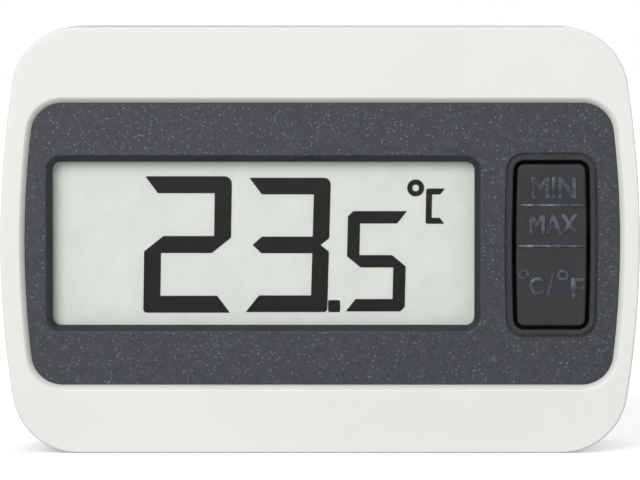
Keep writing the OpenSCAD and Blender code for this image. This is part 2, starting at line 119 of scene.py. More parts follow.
def round_edges(bm, pick, radius, segments=4, held_back=True):
    """Rounds the picked edges to a radius in mm, or chamfers them with one segment. Unless it is held
    back, the full radius also goes round arcs whose edges are shorter than it."""
    bmesh.ops.bevel(
        bm, geom=[e for e in bm.edges if pick(e)], offset=radius * MM, offset_type="OFFSET",
        segments=segments, profile=0.5, affect="EDGES", clamp_overlap=held_back, loop_slide=True, material=-1,
    )


SMOOTH_UP_TO = math.radians(38)


def add_piece(name, bm, material, body, stands_for=()):
    """Turns a bmesh into a smooth-shaded piece that rides on a body."""
    mesh = bpy.data.meshes.new(name)
    bm.to_mesh(mesh)
    bm.free()
    for each in material if isinstance(material, list) else [material]:
        mesh.materials.append(each)
    mesh.shade_smooth()
    mesh.set_sharp_from_angle(angle=SMOOTH_UP_TO)
    piece = bpy.data.objects.new(name, mesh)
    bpy.context.scene.collection.objects.link(piece)
    flat = piece.modifiers.new("flat_faces_stay_flat", "WEIGHTED_NORMAL")
    flat.keep_sharp = True
    flat.weight = 90
    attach(piece, body)
    if stands_for:
        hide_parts(*stands_for)


def group_tree(name, inputs, outputs):
    """An empty shader node group with the given sockets: name to default, a number or a colour."""
    tree = bpy.data.node_groups.new(name, "ShaderNodeTree")
    for socket, value in inputs.items():
        kind = "NodeSocketColor" if isinstance(value, tuple) else "NodeSocketFloat"
        tree.interface.new_socket(socket, in_out="INPUT", socket_type=kind).default_value = value
    for socket, kind in outputs.items():
        tree.interface.new_socket(socket, in_out="OUTPUT", socket_type=kind)
    return tree, tree.nodes.new("NodeGroupInput").outputs, tree.nodes.new("NodeGroupOutput").inputs


def feed(tree, value, socket):
    """Sets a socket to a number or a colour, or links another socket to it."""
    if isinstance(value, (tuple, int, float)):
        socket.default_value = value
    else:
        tree.links.new(value, socket)


def noise(tree, vector, scale, detail=2.0, roughness=0.5):
    node = tree.nodes.new("ShaderNodeTexNoise")
    node.inputs["Detail"].default_value = detail
    node.inputs["Roughness"].default_value = roughness
    feed(tree, vector, node.inputs["Vector"])
    feed(tree, scale, node.inputs["Scale"])
    return node.outputs["Fac"]


def remap(tree, value, from_min, from_max, to_min, to_max):
    """Stretches a value from one range to another; a bound may be a number or a socket."""
    node = tree.nodes.new("ShaderNodeMapRange")
    bounds = {"From Min": from_min, "From Max": from_max, "To Min": to_min, "To Max": to_max, "Value": value}
    for socket, bound in bounds.items():
        feed(tree, bound, node.inputs[socket])
    return node.outputs["Result"]


def mix_colours(tree, factor, first, second):
    node = tree.nodes.new("ShaderNodeMix")
    node.data_type = "RGBA"
    sockets = {s.identifier: s for s in node.inputs}
    feed(tree, factor, sockets["Factor_Float"])
    feed(tree, first, sockets["A_Color"])
    feed(tree, second, sockets["B_Color"])
    return next(s for s in node.outputs if s.identifier == "Result_Color")


def object_coordinates(tree):
    return tree.nodes.new("ShaderNodeTexCoord").outputs["Object"]


def build_moulded_grain():
    """Spark-eroded mould grain: a broad drift of tone, fine pits and a slightly uneven gloss."""
    tree, given, out = group_tree(
        "moulded_grain",
        {"Colour": (0.8, 0.8, 0.8, 1.0), "Drift Colour": (0.75, 0.75, 0.75, 1.0), "Drift Scale": 60.0,
         "Grain Scale": 4500.0, "Roughness Low": 0.4, "Roughness High": 0.5},
        {"Colour": "NodeSocketColor", "Roughness": "NodeSocketFloat", "Height": "NodeSocketFloat"},
    )
    place = object_coordinates(tree)
    drift = noise(tree, place, given["Drift Scale"], detail=3.0)
    grain = noise(tree, place, given["Grain Scale"], detail=4.0, roughness=0.6)
    tone = remap(tree, drift, 0.35, 0.65, 0.0, 1.0)
    feed(tree, mix_colours(tree, tone, given["Colour"], given["Drift Colour"]), out["Colour"])
    gloss = remap(tree, grain, 0.3, 0.7, given["Roughness Low"], given["Roughness High"])
    feed(tree, gloss, out["Roughness"])
    feed(tree, grain, out["Height"])
    return tree


moulded_grain = build_moulded_grain()


def new_material(name):
    """A material with its tree and its Principled shader's sockets."""
    material = bpy.data.materials.new(name)
    material.use_nodes = True
    tree = material.node_tree
    return material, tree, tree.nodes["Principled BSDF"].inputs


def placed_group(tree, group, **values):
    """Places a shader node group with its own values, given by the sockets' names."""
    node = tree.nodes.new("ShaderNodeGroup")
    node.node_tree = group
    for socket, value in values.items():
        node.inputs[socket.replace("_", " ")].default_value = value
    return node.outputs


def add_bump(tree, shader, height, depth):
    """Bump of a depth in mm that feeds the shader's normal."""
    bump = tree.nodes.new("ShaderNodeBump")
    bump.inputs["Strength"].default_value = 1.0
    bump.inputs["Distance"].default_value = depth * MM
    feed(tree, height, bump.inputs["Height"])
    feed(tree, bump.outputs["Normal"], shader["Normal"])


def moulded_plastic(name, colour, drift, roughness, grain=0.2, depth=0.0015, drift_size=12, ior=1.5):
    """A moulded plastic: two close tones, a roughness range, and its grain's size and depth in mm."""
    material, tree, shader = new_material(name)
    surface = placed_group(
        tree, moulded_grain, Colour=colour, Drift_Colour=drift, Drift_Scale=1 / (drift_size * MM),
        Grain_Scale=1 / (grain * MM), Roughness_Low=roughness[0], Roughness_High=roughness[1],
    )
    feed(tree, surface["Colour"], shader["Base Color"])
    feed(tree, surface["Roughness"], shader["Roughness"])
    add_bump(tree, shader, surface["Height"], depth)
    shader["IOR"].default_value = ior
    return material


case_white = moulded_plastic(
    "case_white", linear(233, 236, 230), linear(231, 234, 227), roughness=(0.36, 0.46),
)

front_low, front_high = box_mm("front_shell")
bezel_low, bezel_high = box_mm("bezel")
FACE_Y = front_low[1]
SEAM_Y = front_high[1]
BACK_Y = box_mm("rear_shell")[1][1]
CASE_MID_X = (front_low[0] + front_high[0]) / 2
CASE_MID_Z = (front_low[2] + front_high[2]) / 2
BEZEL_AREA = front_area(bezel_low, bezel_high, grow=0.8)
RIM_X, RIM_Z = 2.5, 1.4
MIDDLE_AREA = (front_low[0] + RIM_X, front_low[2] + RIM_Z, front_high[0] - RIM_X, front_high[2] - RIM_Z)
FACE_EDGE_R = 0.25
LIP_W = 0.5
LIP_EDGE_R = 0.1
BACK_EDGE_R = 1.3
SEAM_EDGE_R = 0.14
POCKET_EDGE_R = 0.22

shell = merged_copy("front_shell", cuts_x=(CASE_MID_X,), cuts_z=(CASE_MID_Z,))
round_edges(shell, at_depth(FACE_Y, beyond=BEZEL_AREA), FACE_EDGE_R, segments=6)
round_edges(shell, at_depth(FACE_Y, within=BEZEL_AREA), LIP_W, segments=1, held_back=False)
round_edges(shell, at_depth(FACE_Y, within=BEZEL_AREA), LIP_EDGE_R, segments=2)
round_edges(shell, at_depth(SEAM_Y, beyond=MIDDLE_AREA), SEAM_EDGE_R, segments=2)
add_piece("front_shell_moulding", shell, case_white, "case", ["front_shell"])

shell = merged_copy("rear_shell")
round_edges(shell, at_depth(BACK_Y, beyond=MIDDLE_AREA), BACK_EDGE_R, segments=7)
round_edges(shell, at_depth(BACK_Y, within=MIDDLE_AREA), POCKET_EDGE_R, segments=3)
round_edges(shell, at_depth(SEAM_Y, beyond=MIDDLE_AREA), SEAM_EDGE_R, segments=2)
add_piece("rear_shell_moulding", shell, case_white, "case", ["rear_shell"])


# ---- Bezel ----
# Dark grey moulded face plate, let into the front shell and held by six heat-staked pins. Its face is
# painted with fine metallic flake. Its window is chamfered, and a collar in a groove frames the key.

def maths(tree, operation, first, second=0.0):
    node = tree.nodes.new("ShaderNodeMath")
    node.operation = operation
    feed(tree, first, node.inputs[0])
    feed(tree, second, node.inputs[1])
    return node.outputs["Value"]


def build_metal_flake():
    """Paint with fine flake: a few small bright cells, more dim ones, on a mottled dark ground."""
    tree, given, out = group_tree(
        "metal_flake",
        {"Ground": (0.08, 0.08, 0.09, 1.0), "Shade": (0.05, 0.05, 0.06, 1.0), "Flake": (0.2, 0.2, 0.22, 1.0),
         "Flake Scale": 5000.0, "Mottle Scale": 2500.0},
        {"Colour": "NodeSocketColor", "Flakes": "NodeSocketFloat", "Roughness": "NodeSocketFloat",
         "Height": "NodeSocketFloat"},
    )
    place = object_coordinates(tree)
    cells = tree.nodes.new("ShaderNodeTexVoronoi")
    feed(tree, place, cells.inputs["Vector"])
    feed(tree, given["Flake Scale"], cells.inputs["Scale"])
    chance = tree.nodes.new("ShaderNodeSeparateColor")
    feed(tree, cells.outputs["Color"], chance.inputs["Color"])
    rare = maths(tree, "POWER", chance.outputs["Red"], 7.0)
    core = remap(tree, cells.outputs["Distance"], 0.25, 0.6, 1.0, 0.0)
    flakes = maths(tree, "MULTIPLY", rare, core)
    mottle = noise(tree, place, given["Mottle Scale"], detail=4.0, roughness=0.75)
    ground = mix_colours(tree, remap(tree, mottle, 0.35, 0.65, 0.0, 1.0), given["Shade"], given["Ground"])
    feed(tree, mix_colours(tree, flakes, ground, given["Flake"]), out["Colour"])
    feed(tree, flakes, out["Flakes"])
    feed(tree, remap(tree, mottle, 0.3, 0.7, 0.42, 0.55), out["Roughness"])
    feed(tree, mottle, out["Height"])
    return tree


metal_flake = build_metal_flake()


def flake_paint(name):
    material, tree, shader = new_material(name)
    surface = placed_group(
        tree, metal_flake, Ground=linear(56, 59, 65), Shade=linear(41, 45, 49), Flake=linear(116, 120, 126),
        Flake_Scale=1 / (0.2 * MM), Mottle_Scale=1 / (0.45 * MM),
    )
    feed(tree, surface["Colour"], shader["Base Color"])
    feed(tree, surface["Roughness"], shader["Roughness"])
    feed(tree, remap(tree, surface["Flakes"], 0.0, 1.0, 0.0, 0.6), shader["Metallic"])
    add_bump(tree, shader, surface["Height"], 0.003)
    return material


bezel_flake = flake_paint("bezel_flake")
bezel_bare = moulded_plastic(
    "bezel_bare", linear(38, 42, 45), linear(32, 36, 38), roughness=(0.5, 0.62), grain=0.25, depth=0.003,
    drift_size=3,
)

BEZEL_Y = bezel_low[1]
BEZEL_EDGE_R = 0.03
WINDOW_CHAMFER = 0.55
CHAMFER_EDGE_R = 0.16
KEY_GAP = 0.34
COLLAR_W = 0.5
COLLAR_EDGE_R = 0.14
GROOVE_W = 0.2
GROOVE_DEPTH = 0.3
GROOVE_EDGE_R = 0.04
TRUNNION_L = 1.34
COLLAR_MARGIN = 0.01
AREA_MARGIN = 0.1

window_low, window_high = box_mm("display_lens")
key_low, key_high = box_mm("rocker_key")
WINDOW_MID_X = (window_low[0] + window_high[0]) / 2
KEY_MID_X = (key_low[0] + key_high[0]) / 2
KEY_MID_Z = (key_low[2] + key_high[2]) / 2
WINDOW_AREA = front_area(window_low, window_high, grow=-0.4)


def round_the_key(grow):
    """The area of the key without its trunnions, grown by so many mm."""
    x0, z0, x1, z1 = front_area(key_low, key_high, grow)
    return x0 + TRUNNION_L, z0, x1 - TRUNNION_L, z1


COLLAR_TOP = round_the_key(KEY_GAP + COLLAR_W + COLLAR_MARGIN)
COLLAR_AREA = round_the_key(KEY_GAP + COLLAR_W + GROOVE_W + AREA_MARGIN)


def at_plate_edge(edge):
    return at_depth(BEZEL_Y, beyond=WINDOW_AREA)(edge) and at_depth(BEZEL_Y, beyond=COLLAR_AREA)(edge)


def meets_deep_wall(edge):
    """True at the key's opening, false at the shallow groove outside it."""
    return any(face.calc_center_median().y / MM > BEZEL_Y + GROOVE_DEPTH for face in edge.link_faces)


def at_groove(edge):
    return at_depth(BEZEL_Y, within=COLLAR_AREA)(edge) and not meets_deep_wall(edge)


def at_opening(edge):
    return at_depth(BEZEL_Y, within=COLLAR_AREA)(edge) and meets_deep_wall(edge)


plate = merged_copy("bezel", cuts_x=(WINDOW_MID_X, KEY_MID_X), cuts_z=(KEY_MID_Z,))
round_edges(plate, at_plate_edge, BEZEL_EDGE_R, segments=2)
round_edges(plate, at_depth(BEZEL_Y, within=WINDOW_AREA), WINDOW_CHAMFER, segments=1, held_back=False)
round_edges(plate, at_depth(BEZEL_Y, within=WINDOW_AREA), CHAMFER_EDGE_R, segments=3)
round_edges(plate, at_groove, GROOVE_EDGE_R, segments=2)
round_edges(plate, at_opening, COLLAR_EDGE_R, segments=3, held_back=False)

# The paint covers what faces forward, apart from the collar: walls and chamfers are bare plastic.
FORWARD = -0.95
for face in plate.faces:
    on_collar = all(
        COLLAR_TOP[0] <= v.co.x / MM <= COLLAR_TOP[2] and COLLAR_TOP[1] <= v.co.z / MM <= COLLAR_TOP[3]
        for v in face.verts)
    face.material_index = 0 if face.normal.y < FORWARD and not on_collar else 1
add_piece("bezel_plate", plate, [bezel_flake, bezel_bare], "case", ["bezel"])


# ---- Lens and its tape ----
# A flat sheet of clear acrylic cut to the window. A die-cut frame of black double-sided tape
# holds it behind the bezel.

def finish(node, material):
    """Gives a node that is already the right shape its material."""
    nodes[node].data.materials.clear()
    nodes[node].data.materials.append(material)


finish("lens_tape", moulded_plastic(
    "tape_black", linear(38, 38, 40), linear(30, 30, 32), roughness=(0.6, 0.75), depth=0.004,
))


def clear_sheet(name, tint, gloss, ior):
    """A clear sheet that lets lamps through and mirrors a little, more at a slant."""
    material, tree, _ = new_material(name)
    tree.nodes.remove(tree.nodes["Principled BSDF"])
    through = tree.nodes.new("ShaderNodeBsdfTransparent")
    through.inputs["Color"].default_value = tint
    mirror = tree.nodes.new("ShaderNodeBsdfGlossy")
    mirror.inputs["Roughness"].default_value = gloss
    slant = tree.nodes.new("ShaderNodeFresnel")
    slant.inputs["IOR"].default_value = ior
    outer = tree.nodes.new("ShaderNodeNewGeometry").outputs["Backfacing"]
    both = tree.nodes.new("ShaderNodeMixShader")
    feed(tree, maths(tree, "MULTIPLY", slant.outputs["Fac"], maths(tree, "SUBTRACT", 1.0, outer)),
         both.inputs["Fac"])
    feed(tree, through.outputs["BSDF"], both.inputs[1])
    feed(tree, mirror.outputs["BSDF"], both.inputs[2])
    feed(tree, both.outputs["Shader"], tree.nodes["Material Output"].inputs["Surface"])
    return material


lens_clear = clear_sheet("lens_clear", (0.985, 0.99, 0.985, 1.0), 0.06, 1.4)
LENS_EDGE_R = 0.08
lens = merged_copy("display_lens")
round_edges(lens, at_depth(window_low[1]), LENS_EDGE_R, segments=2)
add_piece("display_lens_sheet", lens, lens_clear, "case", ["display_lens"])


# ---- Display ----
# A segment display: two sheets of glass with film in front and a reflector behind. The front film is
# a matt grey-green, and the lit segments lie on it. They show one reading, 23.5 degrees Celsius.

def film(name, light, dark, roughness):
    """Diffusing display film with a faint cloudy mottle."""
    material, tree, shader = new_material(name)
    place = object_coordinates(tree)
    cloud = noise(tree, place, 1 / (2.2 * MM), detail=5.0, roughness=0.62)
    speck = noise(tree, place, 1 / (0.16 * MM), detail=2.0)
    tone = remap(tree, cloud, 0.3, 0.7, 0.0, 1.0)
    feed(tree, mix_colours(tree, tone, dark, light), shader["Base Color"])
    feed(tree, remap(tree, speck, 0.3, 0.7, roughness - 0.06, roughness + 0.06), shader["Roughness"])
    add_bump(tree, shader, speck, 0.0008)
    return material


display_film = film("display_film", linear(231, 234, 228), linear(223, 227, 221), 0.55)
glass_edge = clear_sheet("glass_edge", (0.9, 0.95, 0.93, 1.0), 0.03, 1.52)
for node in ("lcd_front_polarizer", "lcd_reflector"):
    finish(node, display_film)
for node in ("lcd_front_glass", "lcd_rear_glass"):
    finish(node, glass_edge)

segment_ink = moulded_plastic(
    "segment_ink", linear(20, 23, 20), linear(16, 19, 16), roughness=(0.5, 0.6), grain=0.15, depth=0.001,
    drift_size=2, ior=1.2,
)
SEGMENT_T = 0.03
FILM_Y = box_mm("lcd_front_polarizer")[0][1]


def segment_outlines(lit, width, height, stroke):
    """Outlines of the lit segments a to g, each a few [x, z] corners in mm. Free ends are mitred."""
    w, h, t = width, height, stroke
    mid = h / 2
    half = t / 2
    free = 0.77 * t

    def mitre(*neighbours):
        return t if any(n in lit for n in neighbours) else free

    def bar(upper):
        left, right = ("f", "b") if upper else ("e", "c")
        outer, inner = (h, h - t) if upper else (0, t)
        return [(0, outer), (w, outer), (w - mitre(right), inner), (mitre(left), inner)]

    def post(right, upper):
        x_out, x_in, x_mid = (w, w - t, w - half) if right else (0, t, half)
        end, inner_end = (h, h - t) if upper else (0, t)
        away = 1 if upper else -1
        if "g" not in lit:
            nick = 0.1 * t if right else -0.1 * t
            return [(x_out, end), (x_out, mid + away * abs(nick)), (x_out - nick, mid), (x_in + nick, mid),
                    (x_in, mid + away * abs(nick)), (x_in, inner_end)]
        return [(x_out, end), (x_out, mid + away * 0.41 * t), (x_mid, mid), (x_in, mid + away * half),
                (x_in, inner_end)]

    def middle():
        joined_left, joined_right = {"e", "f"} & set(lit), {"b", "c"} & set(lit)
        tip_l = half if joined_left else 0.3 * t
        tip_r = w - (half if joined_right else 0.3 * t)

        def corner(side, upper):
            key = {"left": "fe", "right": "bc"}[side][0 if upper else 1]
            both = joined_left if side == "left" else joined_right
            return t if key in lit else (1.12 * t if both else 0.85 * t)
        return [(tip_l, mid), (corner("left", True), mid + half), (w - corner("right", True), mid + half),
                (tip_r, mid), (w - corner("right", False), mid - half), (corner("left", False), mid - half)]

    shapes = {
        "a": lambda: bar(True), "d": lambda: bar(False), "g": middle,
        "b": lambda: post(True, True), "c": lambda: post(True, False),
        "f": lambda: post(False, True), "e": lambda: post(False, False),
    }
    return [shapes[s]() for s in lit]


def raise_flat(bm, thickness):
    """Gives flat faces that look towards the reader their thickness, in mm."""
    for face in bm.faces:
        if face.normal.y > 0:
            face.normal_flip()
    grown = bmesh.ops.extrude_face_region(bm, geom=bm.faces[:])
    moved = [v for v in grown["geom"] if isinstance(v, bmesh.types.BMVert)]
    bmesh.ops.translate(bm, verts=moved, vec=(0, -thickness * MM, 0))
    bmesh.ops.recalc_face_normals(bm, faces=bm.faces)


def digit(name, lit, at, width, height, stroke, lean, rounded, segments):
    """One seven-segment figure. rounded holds (right, upper, radius) for each joined outside corner."""
    bm = bmesh.new()
    for outline in segment_outlines(lit, width, height, stroke):
        bm.faces.new([bm.verts.new((x * MM, 0, z * MM)) for x, z in outline])
    bmesh.ops.remove_doubles(bm, verts=bm.verts, dist=1e-6)
    bmesh.ops.recalc_face_normals(bm, faces=bm.faces)
    inner = [e for e in bm.edges if len(e.link_faces) == 2]
    bmesh.ops.dissolve_edges(bm, edges=inner, use_verts=False)
    for right, upper, radius in rounded:
        corner = Vector((width * MM if right else 0, 0, height * MM if upper else 0))
        bmesh.ops.bevel(
            bm, geom=[v for v in bm.verts if (v.co - corner).length < 1e-6], offset=radius * MM,
            offset_type="OFFSET", segments=segments, profile=0.5, affect="VERTICES", material=-1,
        )
    raise_flat(bm, SEGMENT_T)
    slant = Matrix.Shear("XY", 4, (0, 0))
    slant[0][2] = math.tan(math.radians(lean))
    bmesh.ops.transform(bm, matrix=slant, verts=bm.verts)
    bmesh.ops.translate(bm, verts=bm.verts, vec=(at[0] * MM, FILM_Y * MM, at[1] * MM))
    add_piece(name, bm, segment_ink, "case")


digit("segments_tens", "abged", (-16.65, 13.08), 8.17, 12.86, 1.6, 0.9,
      [(True, True, 0.7), (False, False, 0.35), (False, True, 0.15)], 4)
digit("segments_ones", "abgcd", (-7.0, 13.14), 7.68, 12.66, 1.57, 1.6,
      [(True, True, 0.65), (True, False, 0.35), (False, True, 0.15)], 4)
digit("segments_tenths", "afgcd", (2.42, 13.2), 5.55, 9.46, 1.17, 1.3,
      [(False, True, 0.5), (True, False, 0.42)], 1)
digit("segments_unit_letter", "afed", (9.93, 21.46), 1.77, 3.33, 0.57, 1.0,
      [(False, True, 0.2), (False, False, 0.2), (True, True, 0.08)], 3)


def dot_and_ring():
    """The square decimal point and the small degree ring."""
    point_mid, point_size, point_corner_r = (1.33, 13.7), 1.14, 0.18
    ring_mid, ring_r, ring_hole_r = (9.0, 24.84), 0.8, 0.31
    bm = bmesh.new()
    square = bmesh.ops.create_grid(bm, x_segments=1, y_segments=1, size=point_size / 2 * MM)["verts"]
    bmesh.ops.bevel(
        bm, geom=square, offset=point_corner_r * MM, offset_type="OFFSET", segments=3, profile=0.5,
        affect="VERTICES", material=-1,
    )
    bmesh.ops.rotate(bm, verts=bm.verts, matrix=Matrix.Rotation(math.pi / 2, 3, "X"))
    bmesh.ops.translate(bm, verts=bm.verts, vec=(point_mid[0] * MM, 0, point_mid[1] * MM))
    start = [bm.verts.new(((ring_mid[0] + r) * MM, 0, ring_mid[1] * MM)) for r in (ring_hole_r, ring_r)]
    edge = bm.edges.new(start)
    bmesh.ops.spin(bm, geom=[*start, edge], cent=(ring_mid[0] * MM, 0, ring_mid[1] * MM), axis=(0, 1, 0),
                   angle=2 * math.pi, steps=40, use_merge=True)
    raise_flat(bm, SEGMENT_T)
    bmesh.ops.translate(bm, verts=bm.verts, vec=(0, FILM_Y * MM, 0))
    add_piece("segments_point_and_degree", bm, segment_ink, "case")


dot_and_ring()


# ---- Rocker key ----
# One dark key with a fine matt grain, which rocks on two trunnions. A full-width ridge marks its
# pivot, and raised letters name what each end does.

key_matt = moulded_plastic(
    "key_matt", linear(35, 39, 43), linear(28, 32, 36), roughness=(0.5, 0.62), grain=0.22, depth=0.006,
    drift_size=3,
)
KEY_Y = key_low[1]
KEY_EDGE_R = 0.22


def build_painted_highlight():
    """Raised plastic painted lighter in patches, a painted highlight for the light that raised tops catch,
    and smoother there.
    """
    tree, given, out = group_tree(
        "painted_highlight",
        {"Colour": (0.04, 0.04, 0.05, 1.0), "Worn Colour": (0.1, 0.1, 0.1, 1.0), "Roughness Low": 0.4,
         "Roughness High": 0.5},
        {"Colour": "NodeSocketColor", "Roughness": "NodeSocketFloat", "Height": "NodeSocketFloat"},
    )
    place = object_coordinates(tree)
    patches = noise(tree, place, 1 / (0.7 * MM), detail=4.0, roughness=0.65)
    highlight = remap(tree, patches, 0.42, 0.62, 0.0, 1.0)
    feed(tree, mix_colours(tree, highlight, given["Colour"], given["Worn Colour"]), out["Colour"])
    gloss = remap(tree, patches, 0.35, 0.65, given["Roughness High"], given["Roughness Low"])
    feed(tree, gloss, out["Roughness"])
    feed(tree, noise(tree, place, 1 / (0.2 * MM), detail=3.0), out["Height"])
    return tree


painted_highlight = build_painted_highlight()


def highlighted_plastic(name, colour, highlight, roughness):
    material, tree, shader = new_material(name)
    surface = placed_group(
        tree, painted_highlight, Colour=colour, Worn_Colour=highlight,
        Roughness_Low=roughness[0], Roughness_High=roughness[1],
    )
    feed(tree, surface["Colour"], shader["Base Color"])
    feed(tree, surface["Roughness"], shader["Roughness"])
    add_bump(tree, shader, surface["Height"], 0.004)
    return material


# Ridges and letters: painted highlight. Both are lighter than the key, and lighter still in patches, for the
# light that their raised tops catch.
key_ridge_highlight = highlighted_plastic("key_ridge_highlight", linear(54, 58, 61), linear(116, 121, 126), (0.34, 0.5))
key_letters = highlighted_plastic("key_letters", linear(40, 44, 48), linear(86, 91, 96), (0.4, 0.55))
button = merged_copy("rocker_key")
round_edges(button, at_depth(KEY_Y), KEY_EDGE_R, segments=4)
add_piece("key_cap", button, key_matt, "key", ["rocker_key"])


ROUND_SHARE = 0.9


def ridge(name, z, x0, x1, height, width):
    """A low raised line across the key, its top nearly all rounding."""
    bm = bmesh.new()
    bmesh.ops.create_cube(bm, size=1)
    bmesh.ops.scale(bm, verts=bm.verts, vec=((x1 - x0) * MM, height * 2 * MM, width * MM))
    bmesh.ops.translate(bm, verts=bm.verts, vec=((x0 + x1) / 2 * MM, KEY_Y * MM, z * MM))
    round_edges(bm, at_depth(KEY_Y - height), min(height, width / 2) * ROUND_SHARE, segments=3)
    add_piece(name, bm, key_ridge_highlight, "key")


KEY_X0, _, KEY_X1, _ = round_the_key(0)
RIDGE_INSET = 0.12
ridge("key_pivot_ridge", 19.46, KEY_X0 + RIDGE_INSET, KEY_X1 - RIDGE_INSET, 0.16, 0.26)
ridge("key_legend_ridge", 23.3, KEY_MID_X - 2.95, KEY_MID_X + 3.1, 0.09, 0.2)


def flat_word(words, middle, width, height):
    """Flat letters that face the reader, fitted to a width and a height in mm round their middle."""
    curve = bpy.data.curves.new(words, "FONT")
    curve.body = words
    curve.resolution_u = 4
    text = bpy.data.objects.new(words, curve)
    bpy.context.scene.collection.objects.link(text)
    bpy.context.view_layer.update()
    mesh = bpy.data.meshes.new_from_object(text.evaluated_get(bpy.context.evaluated_depsgraph_get()))
    bpy.data.objects.remove(text)
    bpy.data.curves.remove(curve)
    bm = bmesh.new()
    bm.from_mesh(mesh)
    bpy.data.meshes.remove(mesh)
    bmesh.ops.remove_doubles(bm, verts=bm.verts, dist=1e-5)
    bmesh.ops.dissolve_limit(bm, angle_limit=math.radians(1), verts=bm.verts, edges=bm.edges)
    xs = [v.co.x for v in bm.verts]
    ys = [v.co.y for v in bm.verts]
    centre = Vector(((min(xs) + max(xs)) / 2, (min(ys) + max(ys)) / 2, 0))
    bmesh.ops.translate(bm, verts=bm.verts, vec=-centre)
    across, up = width / (max(xs) - min(xs)), height / (max(ys) - min(ys))
    bmesh.ops.scale(bm, verts=bm.verts, vec=(across * MM, up * MM, MM))
    bmesh.ops.rotate(bm, verts=bm.verts, matrix=Matrix.Rotation(math.pi / 2, 3, "X"))
    bmesh.ops.translate(bm, verts=bm.verts, vec=(middle[0] * MM, 0, middle[1] * MM))
    return bm


LETTER_T = 0.1
LETTER_BOLD = 0.055
LETTER_EDGE_R = 0.025
LAYER_STEP = 0.003


def raised_word(name, words, middle, width, height):
    """Bold raised letters: four layers, each set a little aside from the others and a little higher."""
    bm = bmesh.new()
    asides = [(x, z) for x in (-LETTER_BOLD, LETTER_BOLD) for z in (-LETTER_BOLD, LETTER_BOLD)]
    for step, (x, z) in enumerate(asides):
        top = LETTER_T + step * LAYER_STEP
        place = (middle[0] + x, middle[1] + z)
        layer = flat_word(words, place, width - 2 * LETTER_BOLD, height - 2 * LETTER_BOLD)
        raise_flat(layer, top)
        bmesh.ops.translate(layer, verts=layer.verts, vec=(0, KEY_Y * MM, 0))
        round_edges(layer, at_depth(KEY_Y - top), LETTER_EDGE_R, segments=2)
        mesh = bpy.data.meshes.new(name)
        layer.to_mesh(mesh)
        layer.free()
        bm.from_mesh(mesh)
        bpy.data.meshes.remove(mesh)
    add_piece(name, bm, key_letters, "key")


raised_word("key_word_min", "MIN", (21.9, 24.95), 4.15, 1.95)
raised_word("key_word_max", "MAX", (21.9, 21.5), 4.6, 1.95)
raised_word("key_word_celsius", "C", (20.34, 15.71), 1.43, 1.65)
raised_word("key_word_stroke", "/", (21.63, 15.84), 0.75, 2.15)
raised_word("key_word_fahrenheit", "F", (24.19, 15.48), 1.28, 1.98)


MARK_EDGE_R = 0.03


def degree_mark(name, middle, outer_r, inner_r):
    """A small raised ring."""
    bm = bmesh.new()
    start = [bm.verts.new(((middle[0] + r) * MM, 0, middle[1] * MM)) for r in (inner_r, outer_r)]
    edge = bm.edges.new(start)
    bmesh.ops.spin(bm, geom=[*start, edge], cent=(middle[0] * MM, 0, middle[1] * MM), axis=(0, 1, 0),
                   angle=2 * math.pi, steps=24, use_merge=True)
    raise_flat(bm, LETTER_T)
    bmesh.ops.translate(bm, verts=bm.verts, vec=(0, KEY_Y * MM, 0))
    round_edges(bm, at_depth(KEY_Y - LETTER_T), MARK_EDGE_R, segments=2)
    add_piece(name, bm, key_letters, "key")


degree_mark("key_degree_left", (19.12, 16.77), 0.5, 0.24)
degree_mark("key_degree_right", (22.79, 16.72), 0.55, 0.28)


# ---- Switch pad ----
# Dark grey silicone rubber pad moulded with two domes under the key, each with a conductive pill. Its dark
# grey is partly painted shade, deepening the narrow gap round the key.
# It lies on the board, and the domes spring the key back.

# The pad's dark grey is partly painted shade: it deepens the shade in the narrow gap round the key.
silicone = moulded_plastic("silicone", linear(52, 53, 55), linear(44, 45, 47), roughness=(0.55, 0.7))
carbon = moulded_plastic("carbon", linear(28, 28, 29), linear(20, 20, 21), roughness=(0.7, 0.85))
finish("rubber_keypad", silicone)
finish("carbon_pills", carbon)


# ---- Display holder and connector ----
# A plain moulded frame centres the glass on the board. A strip of layered conductive rubber,
# black and pink by turns, joins the glass ledge to the board.

finish("lcd_holder", moulded_plastic(
    "holder_white", linear(226, 226, 220), linear(218, 218, 212), roughness=(0.5, 0.6),
))


def zebra():
    material, tree, shader = new_material("zebra")
    bands = tree.nodes.new("ShaderNodeTexWave")
    bands.bands_direction = "X"
    bands.inputs["Scale"].default_value = 1 / (1.2 * MM)
    feed(tree, object_coordinates(tree), bands.inputs["Vector"])
    layers = remap(tree, bands.outputs["Fac"], 0.45, 0.55, 0.0, 1.0)
    feed(tree, mix_colours(tree, layers, linear(30, 28, 29), linear(214, 150, 158)), shader["Base Color"])
    feed(tree, remap(tree, layers, 0.0, 1.0, 0.75, 0.5), shader["Roughness"])
    return material


finish("zebra_strip", zebra())


# ---- Circuit board ----
# Glass epoxy under green solder mask, with copper tracks showing faintly. A drop of resin covers the
# bare chip, and chip parts and a bead thermistor are soldered to the back. Four screws hold it.

def solder_mask():
    material, tree, shader = new_material("solder_mask")
    place = object_coordinates(tree)
    tracks = tree.nodes.new("ShaderNodeTexBrick")
    tracks.offset = 0.37
    tracks.inputs["Scale"].default_value = 1 / (3.0 * MM)
    tracks.inputs["Mortar Size"].default_value = 0.05
    turn = tree.nodes.new("ShaderNodeMapping")
    turn.inputs["Rotation"].default_value = (math.pi / 2, 0, 0)
    feed(tree, place, turn.inputs["Vector"])
    feed(tree, turn.outputs["Vector"], tracks.inputs["Vector"])
    weave = noise(tree, place, 1 / (0.4 * MM), detail=2.0)
    ground = mix_colours(tree, weave, linear(22, 92, 52), linear(32, 108, 62))
    feed(tree, mix_colours(tree, tracks.outputs["Fac"], ground, linear(70, 140, 80)), shader["Base Color"])
    feed(tree, remap(tree, weave, 0.3, 0.7, 0.28, 0.42), shader["Roughness"])
    add_bump(tree, shader, tracks.outputs["Fac"], 0.02)
    return material


